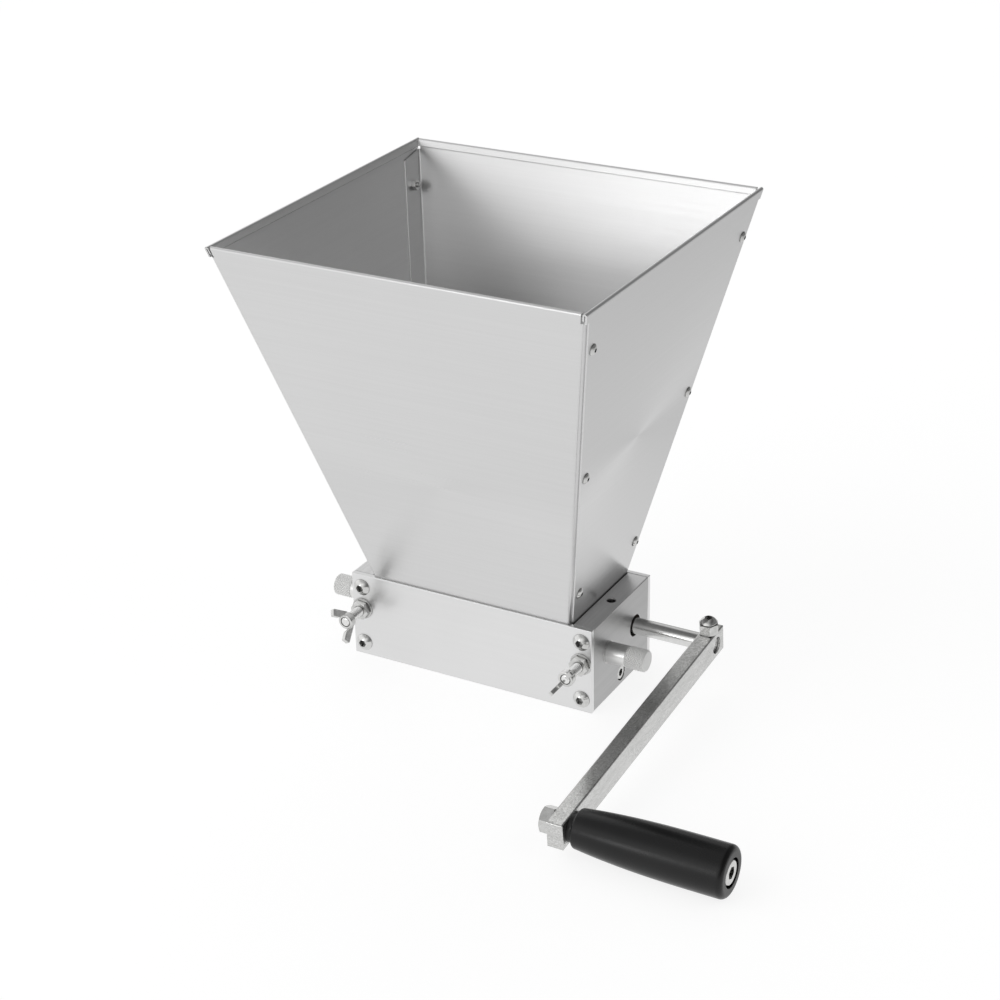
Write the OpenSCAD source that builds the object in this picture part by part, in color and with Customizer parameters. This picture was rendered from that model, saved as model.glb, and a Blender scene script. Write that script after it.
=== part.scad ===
// Hand cranked malt mill: two rollers in a metal housing, fed by a sheet metal hopper.
// The drive shaft lies along X with the crank at +X, the front plate faces -Y and Z is up.
// The origin is at the middle of the housing's underside.

/* [Rollers] */
// Diameter of both rollers
roller_d = 31.75; // [25.4:0.05:38.1]
// Length of both rollers
roller_len = 127; // [100:1:160]
// Chamfer on the rollers' ends
roller_chamfer = 0.8; // [0.3:0.1:1.5]
// Gap between the rollers with the adjusters in the middle of their travel
middle_gap = 1.55; // [1.3:0.05:2.5]
// Offset of the idler's journals from the adjusters' axis
eccentricity = 0.95; // [0.4:0.05:1.1]
// Play between a roller's end and its end plate
side_play = 0.3; // [0.2:0.05:0.6]
// Space between the drive roller and the back plate
rear_space = 0.4; // [0.3:0.05:3]
// Space between the idler roller and the front plate
front_space = 2.05; // [1.4:0.05:5]
// Space under the rollers
foot_space = 12.6; // [12.4:0.1:25]
// Height of the housing's mouth over the rollers
mouth_h = 7.1; // [6.9:0.1:15]

/* [Housing] */
// Thickness of the end plates
end_t = 12.7; // [11:0.1:16]
// Thickness of the front and back plates
plate_t = 3; // [2:0.1:5]
// Rounding of the front and back plates' edges
edge_r = 0.3; // [0.2:0.1:0.5]
// Rounding of the end plates' edges
seam_r = 0.5; // [0.2:0.1:1]
// Diameter of the bores in the end plates
bore_d = 13; // [12.6:0.1:14]
// Diameter of the plate screws
plate_screw_d = 5; // [4:0.5:6]
// Length of the plate screws under their heads
plate_screw_len = 12; // [8:1:14]
// Diameter of the plate screws' button heads
plate_head_d = 10; // [8:0.1:11]
// Height of the plate screws' button heads
plate_head_h = 3; // [2:0.1:3.5]
// Width across flats of the plate screws' sockets
plate_socket = 4; // [2.5:0.5:4]
// Lower plate screws' height over the underside
plate_screw_rise = 7.6; // [7:0.1:10]
// Upper plate screws' distance below the top
plate_screw_drop = 8.1; // [6:0.1:9]
// Diameter of the tapped holes for a base board
base_hole_d = 5; // [4:0.5:6]
// Depth of the tapped holes for a base board
base_hole_depth = 12; // [8:0.5:14]
// Distance between the base holes along Y
base_hole_span = 32; // [26:1:34]
// Diameter of the tapped hole in an end plate's top
top_hole_d = 5; // [3:0.5:6]
// Depth of the tapped hole in an end plate's top
top_hole_depth = 12; // [6:1:15]

/* [Tie rod] */
// Diameter of the rod between the end plates
tie_d = 10; // [8:0.5:10]
// Height of the rod's axis over the underside
tie_z = 7; // [6:0.1:7.5]
// Diameter of the rod's end screws
tie_screw_d = 5; // [4:0.5:6]
// Length of the rod's end screws under their heads
tie_screw_len = 20; // [16:1:30]
// Diameter of the end screws' heads
tie_head_d = 8.5; // [7.5:0.1:9]
// Height of the end screws' heads
tie_head_h = 5; // [3:0.1:6]
// Width across flats of the end screws' sockets
tie_socket = 4; // [2.5:0.5:4]
// Space round an end screw's head in its counterbore
tie_head_space = 0.5; // [0.2:0.1:0.8]

/* [Drive shaft] */
// Diameter of the drive shaft
shaft_d = 9.525; // [8:0.005:10]
// Shaft length between the end plate and the crank arm
shaft_reach = 40.7; // [32:0.1:60]
// Depth of the shaft's end in the crank arm's bore
shaft_recess = 1.4; // [0.5:0.1:3]
// Length of the bronze bushes
bush_len = 6.5; // [6:0.1:10.5]

/* [Gap adjusters] */
// Diameter of the smooth barrel outside the end plate
barrel_d = 12; // [10:0.1:12.4]
// Length of the smooth barrel
barrel_len = 12; // [6:0.5:14]
// Diameter of the knurled end
knurl_d = 12.8; // [12:0.1:16]
// Length of the knurled end
knurl_len = 11.5; // [8:0.5:14]
// Chamfer on the knurled end
knurl_chamfer = 0.5; // [0.2:0.1:1]
// Diameter of the idler shaft's journals
journal_d = 8; // [6:0.1:8]
// Length of the idler shaft's journals
journal_len = 10; // [6:0.5:10]
// Diameter of the idler shaft inside its roller
idler_core_d = 12; // [10:0.5:16]

/* [Lock screws] */
// Diameter of the lock studs
stud_d = 6; // [5:0.5:6]
// Height of the lock studs over the adjusters' axis
lock_rise = 1.4; // [0:0.1:2]
// Distance from the front plate to the wing head
wing_gap = 14.9; // [8:0.1:18]
// Diameter of the wing head's hub
hub_d = 9.2; // [8.5:0.1:12]
// Length of the wing head's hub
hub_len = 4; // [3:0.1:8]
// Distance of the wings' ends from the stud's axis
wing_reach = 9.3; // [8:0.1:12]
// Distance of the wings' ends past the hub's face
wing_rise = 6.6; // [4:0.1:9]
// Width of a wing
wing_w = 4.4; // [3:0.1:6]
// Thickness of a wing
wing_t = 2.4; // [1.6:0.1:3]
// Rounding of the wings' corners
wing_corner = 0.9; // [0.3:0.1:1.4]
// Turn of the right wing head from +X towards +Z
right_wing_angle = 52; // [0:1:180]
// Turn of the left wing head from +X towards +Z
left_wing_angle = 115; // [0:1:180]
// Width across flats of the jam nuts
jam_nut_af = 10; // [9:0.5:11]
// Thickness of the jam nuts
jam_nut_h = 3.2; // [2.5:0.1:4]
// Diameter of the washers
washer_d = 12.5; // [11:0.5:12.5]
// Thickness of the washers
washer_t = 1.2; // [0.8:0.1:1.6]

/* [Crank] */
// Distance between the drive shaft and the handle bolt
crank_len = 174; // [140:1:200]
// Thickness of the crank arm
arm_t = 9.3; // [8:0.1:12]
// Height of the crank arm
arm_h = 15.4; // [14.5:0.1:20]
// Arm length past the drive shaft
arm_tail = 9.6; // [8:0.1:14]
// Arm length past the handle bolt
arm_nose = 10.9; // [8:0.1:16]
// Rounding of the arm's edges
arm_edge_r = 0.9; // [0.3:0.1:2]
// Space under the grip when the crank rests
floor_gap = 0.3; // [0.2:0.1:5]
// Diameter of the clamp screw over the shaft
clamp_d = 6; // [5:0.5:6]
// Width across flats of the clamp screw's nut
clamp_nut_af = 10; // [8:0.5:11]
// Height of the clamp screw's nut
clamp_nut_h = 6.2; // [4:0.1:7]
// Diameter of the clamp screw's head
clamp_head_d = 9.5; // [8:0.1:10]
// Height of the clamp screw's head
clamp_head_h = 3.2; // [2.5:0.1:5]
// Space between the clamp screw's head and its nut
clamp_head_gap = 0.4; // [0.2:0.1:2]
// Width across flats of the clamp screw's socket
clamp_socket = 4; // [2.5:0.5:5]

/* [Handle] */
// Largest diameter of the grip
grip_d = 27.3; // [22:0.1:32]
// Diameter of the grip beside the arm
grip_near_d = 21; // [19:0.1:26]
// Length of the grip
grip_len = 82.5; // [70:0.5:110]
// Length over which the grip swells
grip_swell_len = 68; // [40:1:68]
// Rounding of the grip's outer end
grip_round = 3; // [1:0.1:4]
// Rounding of the grip's end beside the arm
grip_near_round = 1.4; // [0.5:0.1:2]
// Diameter of the handle bolt
bolt_d = 8; // [6:0.5:8]
// Diameter of the handle bolt's head
bolt_head_d = 13; // [10:0.5:13]
// Height of the handle bolt's head
bolt_head_h = 8; // [5:0.5:10]
// Width across flats of the handle bolt's socket
bolt_socket = 6; // [4:0.5:6]
// Diameter of the recess for the handle bolt's head
grip_recess_d = 15.6; // [14:0.1:17]
// Depth of the handle bolt's head below the grip's end
bolt_head_drop = 0.3; // [0.1:0.1:2]
// Width across flats of the handle bolt's nut
bolt_nut_af = 13; // [12:0.5:14]
// Height of the handle bolt's nut
bolt_nut_h = 6.7; // [4:0.1:8]
// Length of the handle bolt's end past its nut
bolt_end = 1.2; // [0.5:0.1:3]
// Diameter of the spacer between arm and grip
spacer_d = 16; // [12:0.5:18]
// Length of the spacer
spacer_len = 2.8; // [1.5:0.1:5]
// Play of the grip at each end
grip_play = 0.25; // [0.15:0.05:0.5]

/* [Hopper] */
// Width of the hopper's top along X
hop_top_w = 219.3; // [190:0.1:236]
// Depth of the hopper's top along Y
hop_top_d = 210.6; // [180:0.1:240]
// Height of the hopper over the housing
hop_h = 212.2; // [180:0.1:260]
// Space between the side panels' feet and the end plates
hop_fit = 0.3; // [0.2:0.05:0.5]
// How far the front and back panels stand on the tops of the front and back plates
panel_rest = 1.75; // [0.6:0.05:2]
// Thickness of the sheet
sheet_t = 1; // [0.6:0.1:1.2]
// Height of the side panels' vertical feet inside the mouth
foot_h = 5.2; // [5:0.1:5.4]
// Depth of the folded hem at the top
hem_h = 4.5; // [3.5:0.1:5]
// Inner gap of the folded hem
hem_gap = 0.4; // [0.2:0.1:0.8]
// Depth of the corner notches at the top
notch_h = 5.6; // [5.2:0.1:9]
// Width of the slit beside a hem at the corners
notch_slit = 0.8; // [0.4:0.1:1.5]
// Width of the seam flanges
flange_w = 16.5; // [13:0.5:18]
// Fall of the seam flanges' top from the bend to the free edge
flange_fall = 2.4; // [0:0.1:4]
// Outer radius of the bends at the hopper's corners
bend_r = 2; // [1.5:0.1:2.2]
// Setback of a side panel's edge from the corner
seam_setback = 2.4; // [2.3:0.1:3]
// Diameter of the seam screws
seam_screw_d = 3; // [2:0.5:3.5]
// Length of the seam screws under their heads
seam_screw_len = 6; // [5.5:0.5:8]
// Diameter of the seam screws' heads
seam_head_d = 6.2; // [4.5:0.1:6.5]
// Height of the seam screws' heads
seam_head_h = 1.8; // [1.2:0.1:2.5]
// Width across flats of the seam screws' sockets
seam_socket = 2; // [1.5:0.5:2.5]
// Width across flats of the seam nuts
seam_nut_af = 5.5; // [5:0.1:6]
// Thickness of the seam nuts
seam_nut_h = 2.4; // [1.6:0.1:2.6]
// Distance of the seam screws from the hopper's corner
seam_inset = 8; // [7.5:0.1:9]
// Height of the lowest seam screws over the housing
seam_low = 20.5; // [15:0.5:40]
// Distance of the highest seam screws from the top
seam_high = 23.7; // [18:0.1:40]
// Diameter of the hopper's foot screws
foot_screw_d = 2.5; // [2:0.5:3]
// Length of the hopper's foot screws under their heads
foot_screw_len = 6; // [4:0.5:8]
// Diameter of the hopper's foot screws' heads
foot_head_d = 4.4; // [4:0.1:4.6]
// Height of the hopper's foot screws' heads
foot_head_h = 1.5; // [1:0.1:2]
// Distance between the hopper's foot screws on one side
foot_screw_span = 36; // [28:1:44]

/* [Fits] */
// Radial clearance of a turning shaft or adjuster
running_gap = 0.05; // [0.02:0.01:0.08]
// Radial clearance of pressed and threaded pieces
thread_gap = 0.02; // [0.01:0.01:0.04]
// Radial clearance of a screw in a plate
screw_gap = 0.15; // [0.1:0.05:0.3]

/* [Hidden] */
$fn = 64;

// How far a cut runs past the surface that it opens
overrun = 1;
// Chamfer on screw heads, shaft ends and the mouths of the top tapped holes
small_edge = 0.4;
// Straight rim under a button head
button_rim = 0.4;
// Overlap of a corner bend with the sheet on each side
bend_lap = 1;
// Depth of a corner bend's faces under the sheet's faces
bend_inset = 0.03;
// Shape of the grip's swelling: 1 is straight, more is rounder
swell_power = 2.5;
swell_steps = 14;

// Housing, worked out from the rollers
inner_x = roller_len / 2 + side_play;
outer_x = inner_x + end_t;
case_w = 2 * outer_x;
axle_span = roller_d + middle_gap;
case_d = 2 * plate_t + rear_space + roller_d + axle_span + front_space;
axle_z = foot_space + roller_d / 2;
case_h = axle_z + roller_d / 2 + mouth_h;
front_y = -case_d / 2;
back_y = case_d / 2;
drive_y = back_y - plate_t - rear_space - roller_d / 2;
knob_y = drive_y - axle_span;
screw_x = (inner_x + outer_x) / 2;
lock_z = axle_z + lock_rise;
plate_screw_zs = [plate_screw_rise, case_h - plate_screw_drop];
plate_bite = plate_screw_len - plate_t;
plate_hole_depth = plate_bite + overrun;
adjuster_d = bore_d - 2 * running_gap;

// Hopper: the side panels' feet fit inside the housing's mouth, the other panels stand on the plates
hop_half_w = inner_x - hop_fit;
hop_half_d = back_y - plate_t + panel_rest;
slope_w = atan((hop_top_w / 2 - hop_half_w) / hop_h);
slope_d = atan((hop_top_d / 2 - hop_half_d) / hop_h);
hop_top_z = case_h + hop_h;
notch_z = hop_top_z - notch_h;
foot_z = case_h - foot_h;
foot_screw_z = case_h - foot_h / 2;
hem_r = sheet_t + hem_gap / 2;
hem_t = 2 * hem_r;
seam_zs = [case_h + seam_low, case_h + (seam_low + hop_h - seam_high) / 2, hop_top_z - seam_high];
bend_turn = acos(sin(slope_d) * sin(slope_w));
bend_start = bend_r * tan(bend_turn / 2);
hop_reach = hop_top_w + hop_top_d;

// Crank
arm_x = outer_x + shaft_reach;
arm_mid_x = arm_x + arm_t / 2;
arm_end_x = arm_x + arm_t;
crank_drop = asin((axle_z - grip_d / 2 - floor_gap) / crank_len);
grip_x = arm_end_x + spacer_len + grip_play;
grip_end_x = grip_x + grip_len;
bolt_head_x = grip_end_x - bolt_head_drop - bolt_head_h;

// Simple shapes

module rod_x(d, from, to) {
    translate([from, 0, 0]) rotate([0, 90, 0]) cylinder(d = d, h = to - from);
}

module rod_y(d, from, to) {
    translate([0, from, 0]) rotate([-90, 0, 0]) cylinder(d = d, h = to - from);
}

module rod_z(d, from, to) {
    translate([0, 0, from]) cylinder(d = d, h = to - from);
}

// Turned shape about the X axis, from points of radius and x
module turned_x(points) {
    rotate([0, 90, 0]) rotate_extrude() polygon(points);
}

module rounded_rect(w, h, r) {
    square([w - 2 * r, h], center = true);
    square([w, h - 2 * r], center = true);
    for (x = [-1, 1], y = [-1, 1])
        translate([x * (w / 2 - r), y * (h / 2 - r)]) circle(r);
}

// Box with its middle at the origin and all of its edges rounded
module rounded_block(x, y, z, r) {
    intersection() {
        linear_extrude(z, center = true) rounded_rect(x, y, r);
        rotate([90, 0, 0]) linear_extrude(y, center = true) rounded_rect(x, z, r);
        rotate([90, 0, 90]) linear_extrude(x, center = true) rounded_rect(y, z, r);
    }
}

module both_sides() {
    children();
    mirror([1, 0, 0]) children();
}

// Fasteners, seated on z = 0 with the head above it

module socket(af, top, depth) {
    translate([0, 0, top - depth]) cylinder(d = af / cos(30), h = depth + overrun, $fn = 6);
}

module shank(d, len) {
    translate([0, 0, -len]) cylinder(d1 = d - 2 * small_edge, d2 = d, h = small_edge);
    rod_z(d, small_edge - len, 0);
}

module button_screw(d, len, head_d, head_h, af) {
    dome = head_h - button_rim;
    dome_r = (pow(head_d / 2, 2) + pow(dome, 2)) / (2 * dome);
    difference() {
        intersection() {
            cylinder(d = head_d, h = head_h);
            translate([0, 0, head_h - dome_r]) sphere(dome_r);
        }
        socket(af, head_h, dome);
    }
    shank(d, len);
}

module cap_screw(d, len, head_d, head_h, af) {
    difference() {
        union() {
            rod_z(head_d, 0, head_h - small_edge);
            translate([0, 0, head_h - small_edge])
                cylinder(d1 = head_d, d2 = head_d - 2 * small_edge, h = small_edge);
        }
        socket(af, head_h, head_h / 2);
    }
    shank(d, len);
}

module hex_nut(af, h, hole_d) {
    corner_r = af / 2 / cos(30);
    slant = (corner_r - af / 2) * tan(30);
    difference() {
        intersection() {
            cylinder(r = corner_r, h = h, $fn = 6);
            rotate_extrude()
                polygon([[0, 0], [af / 2, 0], [corner_r, slant], [corner_r, h - slant], [af / 2, h], [0, h]]);
        }
        rod_z(hole_d, -overrun, h + overrun);
    }
}

// Housing

module at_plate_screws() {
    for (x = [-screw_x, screw_x], z = plate_screw_zs)
        translate([x, 0, z]) children();
}

module end_plate() {
    depth = case_d - 2 * plate_t;
    tapped_d = plate_screw_d + 2 * thread_gap;
    sink_h = small_edge + overrun;
    difference() {
        translate([screw_x, 0, case_h / 2]) rounded_block(end_t, depth, case_h, seam_r);
        for (y = [drive_y, knob_y])
            translate([0, y, axle_z]) rod_x(bore_d, inner_x - overrun, outer_x + overrun);
        at_plate_screws() {
            rod_y(tapped_d, -depth / 2 - overrun, -depth / 2 + plate_hole_depth);
            rod_y(tapped_d, depth / 2 - plate_hole_depth, depth / 2 + overrun);
        }
        translate([screw_x, 0, lock_z]) rod_y(stud_d + 2 * running_gap, -depth / 2 - overrun, knob_y);
        translate([0, 0, tie_z]) {
            rod_x(tie_screw_d + 2 * screw_gap, inner_x - overrun, outer_x + overrun);
            rod_x(tie_head_d + 2 * tie_head_space, outer_x - tie_head_h, outer_x + overrun);
        }
        translate([screw_x, 0, 0]) rod_z(top_hole_d, case_h - top_hole_depth, case_h + overrun);
        translate([screw_x, 0, case_h - small_edge])
            cylinder(d1 = top_hole_d, d2 = top_hole_d + 2 * sink_h, h = sink_h);
        for (y = [-base_hole_span / 2, base_hole_span / 2])
            translate([screw_x, y, 0]) rod_z(base_hole_d, -overrun, base_hole_depth);
        for (y = [-foot_screw_span / 2, foot_screw_span / 2])
            translate([0, y, foot_screw_z])
                rod_x(foot_screw_d + 2 * thread_gap, inner_x - overrun, inner_x + foot_screw_len);
    }
}

module left_end_plate() {
    color("silver") mirror([1, 0, 0]) end_plate();
}

module right_end_plate() {
    color("silver") end_plate();
}

// Plate over the front, seen from the front
module outer_plate() {
    hole_d = plate_screw_d + 2 * screw_gap;
    difference() {
        translate([0, front_y + plate_t / 2, case_h / 2]) rounded_block(case_w, plate_t, case_h, edge_r);
        at_plate_screws() rod_y(hole_d, front_y - overrun, front_y + plate_t + overrun);
    }
}

module front_plate() {
    color("gainsboro") difference() {
        outer_plate();
        for (x = [-screw_x, screw_x])
            translate([x, 0, lock_z])
                rod_y(stud_d + 2 * screw_gap, front_y - overrun, front_y + plate_t + overrun);
    }
}

module back_plate() {
    color("gainsboro") mirror([0, 1, 0]) outer_plate();
}

module plate_screws() {
    color("lightgray") for (turn = [0, 180])
        rotate([0, 0, turn]) at_plate_screws()
            translate([0, front_y, 0]) rotate([90, 0, 0])
                button_screw(plate_screw_d, plate_screw_len, plate_head_d, plate_head_h, plate_socket);
}

module tie_rod() {
    screw_d = tie_screw_d + 2 * thread_gap;
    screw_end = outer_x - tie_head_h - tie_screw_len;
    color("silver") translate([0, 0, tie_z]) difference() {
        rod_x(tie_d, -inner_x, inner_x);
        both_sides() rod_x(screw_d, screw_end - overrun, inner_x + overrun);
    }
}

module tie_rod_screws() {
    color("dimgray") both_sides()
        translate([outer_x - tie_head_h, 0, tie_z]) rotate([0, 90, 0])
            cap_screw(tie_screw_d, tie_screw_len, tie_head_d, tie_head_h - small_edge, tie_socket);
}

module shaft_bush() {
    translate([0, drive_y, axle_z]) difference() {
        rod_x(bore_d - 2 * thread_gap, inner_x, inner_x + bush_len);
        rod_x(shaft_d + 2 * running_gap, inner_x - overrun, outer_x);
    }
}

module left_shaft_bush() {
    color("peru") mirror([1, 0, 0]) shaft_bush();
}

module right_shaft_bush() {
    color("peru") shaft_bush();
}

// Hopper: sections lie in a plane with the wall at the positive end and height upwards

// Place of a wall at a height: vertical foot, then a slope, at a depth under the outer face
function wall(half, slope, depth, z) =
    z < knee(slope, depth) ? half - depth : half - depth / cos(slope) + (z - case_h) * tan(slope);

function knee(slope, depth) = case_h + depth * tan(slope / 2);

// Half of a panel's outline between two heights, from the foot to the top
function half_outline(half, slope, depth, z1, z2) = [
    [wall(half, slope, depth, z1), z1],
    if (z1 < knee(slope, depth)) [half - depth, knee(slope, depth)],
    [wall(half, slope, depth, z2), z2]
];

function reversed(list) = [for (i = [len(list) - 1:-1:0]) list[i]];

function flipped(list) = [for (p = list) [-p[0], p[1]]];

// Section of the sheet between two depths
module sheet_section(half, slope, outer, inner, z1, z2) {
    polygon(concat(half_outline(half, slope, outer, z1, z2),
        reversed(half_outline(half, slope, inner, z1, z2))));
}

// Outline of a whole panel, between both of its neighbours
module panel_outline(half, slope, depth, z1, z2) {
    edge = half_outline(half, slope, depth, z1, z2);
    polygon(concat(flipped(edge), reversed(edge)));
}

// Section of a panel's top, with its edge folded inwards and down
module hem_section(half, slope) {
    top = hop_h / cos(slope) - hem_r;
    intersection() {
        translate([half, case_h]) rotate(-slope) {
            translate([-sheet_t, top - notch_h]) square([sheet_t, notch_h]);
            translate([-hem_t, top + hem_r - hem_h]) square([sheet_t, hem_h - hem_r]);
            translate([-hem_r, top]) difference() {
                circle(hem_r);
                circle(hem_gap / 2);
                translate([-hem_t, -hem_t]) square([2 * hem_t, hem_t]);
            }
        }
        translate([half, notch_z]) square([hop_reach, 2 * notch_h]);
    }
}

// A section over X, drawn out along Y, and a section over Y, drawn out along X
module along_y() {
    rotate([90, 0, 0]) linear_extrude(hop_reach, center = true) children();
}

module along_x() {
    rotate([90, 0, 90]) linear_extrude(hop_reach, center = true) children();
}

// Plane of the right side panel's outer face: X backwards, Y up the slope, Z outwards
module on_side() {
    translate([hop_half_w, 0, case_h]) rotate([0, slope_w, 0]) rotate([90, 0, 90]) children();
}

module at_seam_screws() {
    for (z = seam_zs, side = [-1, 1]) {
        y = wall(hop_half_d, slope_d, 0, z) - seam_inset;
        translate([side * y, (z - case_h) / cos(slope_w), 0]) children();
    }
}

module seam_holes() {
    both_sides() on_side() at_seam_screws()
        rod_z(seam_screw_d + 2 * screw_gap, -seam_screw_len, overrun);
}

module side_panel() {
    difference() {
        union() {
            intersection() {
                along_y() sheet_section(hop_half_w, slope_w, 0, sheet_t, foot_z, notch_z);
                along_x() panel_outline(hop_half_d - seam_setback, slope_d, 0, foot_z, notch_z);
            }
            intersection() {
                along_y() hem_section(hop_half_w, slope_w);
                along_x() panel_outline(hop_half_d, slope_d, 0, notch_z, hop_top_z + hem_t);
            }
        }
        seam_holes();
        for (y = [-foot_screw_span / 2, foot_screw_span / 2])
            translate([0, y, foot_screw_z])
                rod_x(foot_screw_d + 2 * screw_gap, hop_half_w - sheet_t - overrun, hop_half_w + overrun);
    }
}

// Strip of sheet inside the right side panel, that starts in the front corner's bend
module seam_flange() {
    flange_z = notch_z - flange_fall;
    intersection() {
        along_y() sheet_section(hop_half_w, slope_w, sheet_t, 2 * sheet_t, case_h, notch_z);
        along_x() polygon([
            [bend_start - wall(hop_half_d, slope_d, 0, case_h), case_h],
            [bend_start - wall(hop_half_d, slope_d, 0, notch_z), notch_z],
            [flange_w - wall(hop_half_d, slope_d, 0, flange_z), flange_z],
            [flange_w - wall(hop_half_d, slope_d, 0, case_h), case_h]
        ]);
    }
}

// Rounded corner between the front panel and its right flange, in a frame along the corner
module corner_bend() {
    rise = sqrt(1 + pow(tan(slope_w), 2) + pow(tan(slope_d), 2));
    up = [tan(slope_w), -tan(slope_d), 1] / rise;
    inward = [0, cos(slope_d), sin(slope_d)];
    across = cross(inward, up);
    corner = [wall(hop_half_w, slope_w, sheet_t, notch_z), -wall(hop_half_d, slope_d, 0, notch_z), notch_z];
    place = [for (i = [0:2]) [across[i], inward[i], up[i], corner[i]]];
    length = (notch_z - case_h) * rise;
    leg = [bend_start + bend_lap, sheet_t - 2 * bend_inset];
    wedge = 2 * bend_r;
    intersection() {
        multmatrix(place) translate([0, 0, -length - wedge]) linear_extrude(length + 2 * wedge) {
            difference() {
                union() {
                    translate([-leg[0], bend_inset]) square([leg[0] - bend_start, leg[1]]);
                    rotate(bend_turn) translate([bend_start, bend_inset])
                        square([leg[0] - bend_start, leg[1]]);
                    translate([-bend_start, bend_r]) intersection() {
                        circle(bend_r - bend_inset);
                        polygon([
                            [0, 0],
                            [0, -wedge],
                            [wedge * sin(bend_turn / 2), -wedge * cos(bend_turn / 2)],
                            [wedge * sin(bend_turn), -wedge * cos(bend_turn)]
                        ]);
                    }
                }
                translate([-bend_start, bend_r]) circle(bend_r - sheet_t + bend_inset);
            }
        }
        along_y() translate([0, case_h]) square([hop_reach, notch_z - case_h]);
    }
}

module end_panel() {
    difference() {
        union() {
            intersection() {
                along_x() mirror([1, 0]) sheet_section(hop_half_d, slope_d, 0, sheet_t, case_h, notch_z);
                along_y() panel_outline(hop_half_w - bend_start, slope_w, sheet_t, case_h, notch_z);
            }
            intersection() {
                along_x() mirror([1, 0]) hem_section(hop_half_d, slope_d);
                along_y() panel_outline(hop_half_w - notch_slit, slope_w, hem_t, notch_z, hop_top_z + hem_t);
            }
            both_sides() {
                corner_bend();
                seam_flange();
            }
        }
        seam_holes();
    }
}

module hopper_front_panel() {
    color("gainsboro") end_panel();
}

module hopper_back_panel() {
    color("gainsboro") mirror([0, 1, 0]) end_panel();
}

module hopper_left_panel() {
    color("silver") mirror([1, 0, 0]) side_panel();
}

module hopper_right_panel() {
    color("silver") side_panel();
}

module hopper_seam_screws() {
    color("gray") both_sides() on_side() at_seam_screws()
        button_screw(seam_screw_d, seam_screw_len, seam_head_d, seam_head_h, seam_socket);
}

module hopper_seam_nuts() {
    color("gray") both_sides() on_side() at_seam_screws()
        translate([0, 0, -2 * sheet_t - seam_nut_h])
            hex_nut(seam_nut_af, seam_nut_h, seam_screw_d + 2 * thread_gap);
}

module hopper_foot_screws() {
    color("gray") both_sides() for (y = [-foot_screw_span / 2, foot_screw_span / 2])
        translate([hop_half_w - sheet_t, y, foot_screw_z]) rotate([0, -90, 0])
            button_screw(foot_screw_d, foot_screw_len, foot_head_d, foot_head_h, foot_screw_d / 2);
}

// Rollers

module roller(hole_d) {
    difference() {
        turned_x([
            [0, -roller_len / 2],
            [roller_d / 2 - roller_chamfer, -roller_len / 2],
            [roller_d / 2, roller_chamfer - roller_len / 2],
            [roller_d / 2, roller_len / 2 - roller_chamfer],
            [roller_d / 2 - roller_chamfer, roller_len / 2],
            [0, roller_len / 2]
        ]);
        rod_x(hole_d, -roller_len, roller_len);
    }
}

module drive_roller() {
    color("slategray") translate([0, drive_y, axle_z]) roller(shaft_d + 2 * thread_gap);
}

module drive_shaft() {
    left = -inner_x - bush_len;
    right = arm_end_x - shaft_recess;
    color("lightgray") translate([0, drive_y, axle_z]) turned_x([
        [0, left],
        [shaft_d / 2 - small_edge, left],
        [shaft_d / 2, left + small_edge],
        [shaft_d / 2, right - small_edge],
        [shaft_d / 2 - small_edge, right],
        [0, right]
    ]);
}

module idler_roller() {
    color("slategray") translate([0, knob_y, axle_z + eccentricity])
        roller(idler_core_d + 2 * thread_gap);
}

module idler_shaft() {
    end = roller_len / 2 + journal_len;
    color("lightgray") translate([0, knob_y, axle_z + eccentricity]) turned_x([
        [0, -end],
        [journal_d / 2 - small_edge, -end],
        [journal_d / 2, small_edge - end],
        [journal_d / 2, -roller_len / 2],
        [idler_core_d / 2, -roller_len / 2],
        [idler_core_d / 2, roller_len / 2],
        [journal_d / 2, roller_len / 2],
        [journal_d / 2, end - small_edge],
        [journal_d / 2 - small_edge, end],
        [0, end]
    ]);
}

// Eccentric plug in the end plate's bore, with the idler's journal in it and a knurled knob outside
module gap_adjuster() {
    knob_x = outer_x + barrel_len;
    end_x = knob_x + knurl_len;
    translate([0, knob_y, axle_z]) difference() {
        turned_x([
            [0, inner_x],
            [adjuster_d / 2, inner_x],
            [adjuster_d / 2, outer_x],
            [barrel_d / 2, outer_x],
            [barrel_d / 2, knob_x],
            [knurl_d / 2 - small_edge, knob_x],
            [knurl_d / 2, knob_x + small_edge],
            [knurl_d / 2, end_x - knurl_chamfer],
            [knurl_d / 2 - knurl_chamfer, end_x],
            [0, end_x]
        ]);
        translate([0, 0, eccentricity])
            rod_x(journal_d + 2 * running_gap, inner_x - overrun, roller_len / 2 + journal_len + side_play);
    }
}

module left_gap_adjuster() {
    color("lightgray") mirror([1, 0, 0]) gap_adjuster();
}

module right_gap_adjuster() {
    color("lightgray") gap_adjuster();
}

// Lock screws, worked out along Z and turned to the front

module on_lock(side, angle) {
    translate([side * screw_x, front_y, lock_z]) rotate([90, 0, 0]) rotate([0, 0, angle]) children();
}

module lock_stud() {
    tip = knob_y - adjuster_d / 2 - running_gap - front_y;
    translate([0, 0, wing_gap + hub_len]) shank(stud_d, tip + wing_gap + hub_len);
}

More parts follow.
